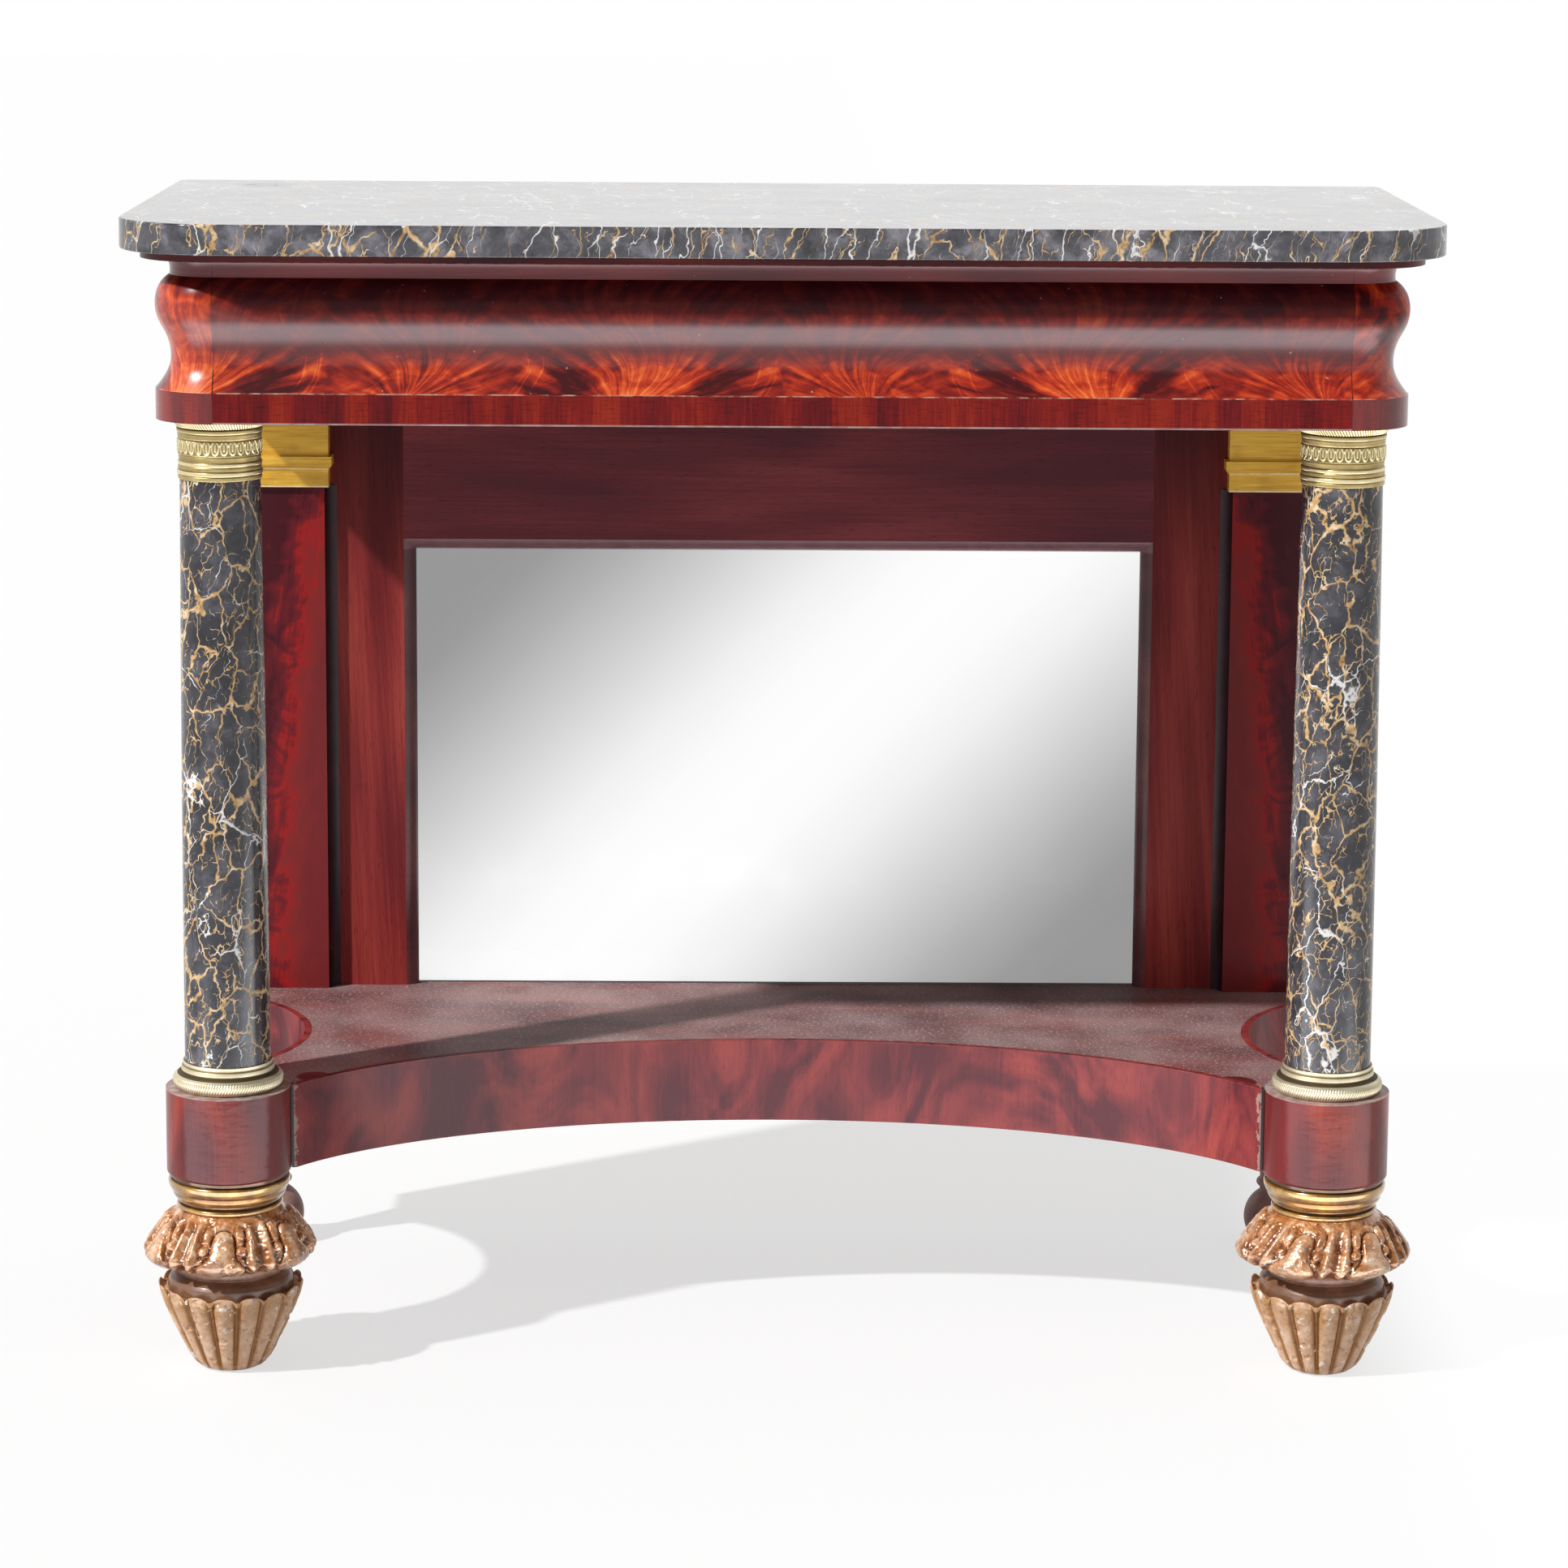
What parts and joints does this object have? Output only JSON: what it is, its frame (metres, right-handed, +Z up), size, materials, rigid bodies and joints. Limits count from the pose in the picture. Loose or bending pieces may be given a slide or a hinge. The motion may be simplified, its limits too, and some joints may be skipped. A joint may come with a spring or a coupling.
{
  "type": "pier table",
  "caption": "Pier table with a loose marble top, ogee frieze, round marble columns, a mirror back over a hollow-fronted shelf, and carved front feet.",
  "frame": {"origin": "on the floor, under the middle of the marble slab", "axes": "+X to the right end as seen from the front, +Y to the wall behind, +Z up"},
  "size_m": [1.05, 0.49, 0.94],
  "materials": {
    "marble_top": "polished dark veined marble",
    "marble_column": "polished dark veined marble",
    "brass": "lacquered brass, worn",
    "mahogany_frieze": "crotch mahogany veneer, shellac polish",
    "mahogany_fillet": "dark mahogany, shellac polish",
    "mahogany_crossband": "mahogany with upright grain, shellac polish",
    "mahogany_flame": "flame mahogany veneer, shellac polish",
    "mahogany_stile": "mahogany veneer, shellac polish",
    "mahogany_rail": "mahogany veneer, shellac polish",
    "mahogany_shelf": "mahogany veneer, dusty shellac polish",
    "mahogany_base": "mahogany veneer, shellac polish",
    "mahogany_drum": "mahogany veneer, shellac polish",
    "mahogany_moulding": "dark mahogany, shellac polish",
    "dark_cove": "dark stained wood",
    "gilt_capital": "gilded wood, worn",
    "gilt_foot": "gilded and bronzed wood, worn",
    "dark_foot": "dark painted wood, worn",
    "mirror_glass": "old silvered glass",
    "pine": "unfinished pine"
  },
  "bodies": {
    "table": {"column_shaft_left": "marble_column", "column_shaft_right": "marble_column", "column_capital_left": "brass", "column_capital_right": "brass", "column_base_left": "brass", "column_base_right": "brass", "frieze_front_rail": "mahogany_frieze", "frieze_side_rail_left": "mahogany_frieze", "frieze_side_rail_right": "mahogany_frieze", "frieze_corner_left": "mahogany_frieze", "frieze_corner_right": "mahogany_frieze", "top_frame_front": "mahogany_fillet", "top_frame_left": "mahogany_fillet", "top_frame_right": "mahogany_fillet", "lower_band_front": "mahogany_crossband", "lower_band_left": "mahogany_crossband", "lower_band_right": "mahogany_crossband", "pilaster_left": "mahogany_flame", "pilaster_right": "mahogany_flame", "back_stile_left": "mahogany_stile", "back_stile_right": "mahogany_stile", "back_top_rail": "mahogany_rail", "shelf_board": "mahogany_shelf", "base_front_rail": "mahogany_base", "base_side_rail_left": "mahogany_base", "base_side_rail_right": "mahogany_base", "rear_block_left": "mahogany_base", "rear_block_right": "mahogany_base", "plinth_drum_left": "mahogany_drum", "plinth_drum_right": "mahogany_drum", "mirror_moulding_left": "mahogany_moulding", "mirror_moulding_right": "mahogany_moulding", "mirror_moulding_top": "mahogany_moulding", "pilaster_cove_left": "dark_cove", "pilaster_cove_right": "dark_cove", "pilaster_capital_left": "gilt_capital", "pilaster_capital_right": "gilt_capital", "front_foot_left": "gilt_foot", "front_foot_right": "gilt_foot", "rear_foot_left": "dark_foot", "rear_foot_right": "dark_foot", "mirror_glass": "mirror_glass", "top_frame_back": "pine", "cross_brace_left": "pine", "cross_brace_right": "pine", "frieze_back_rail": "pine", "rear_post_left": "pine", "rear_post_right": "pine", "backboard_upper": "pine", "backboard_lower": "pine", "base_back_rail": "pine", "column_dowels": "pine"},
    "slab": {"marble_top": "marble_top"}
  },
  "joints": [
    {"name": "top_lift", "type": "slide", "parent": "table", "child": "slab", "axis": [0, 0, 1], "range_m": [0, 0.15]}
  ]
}
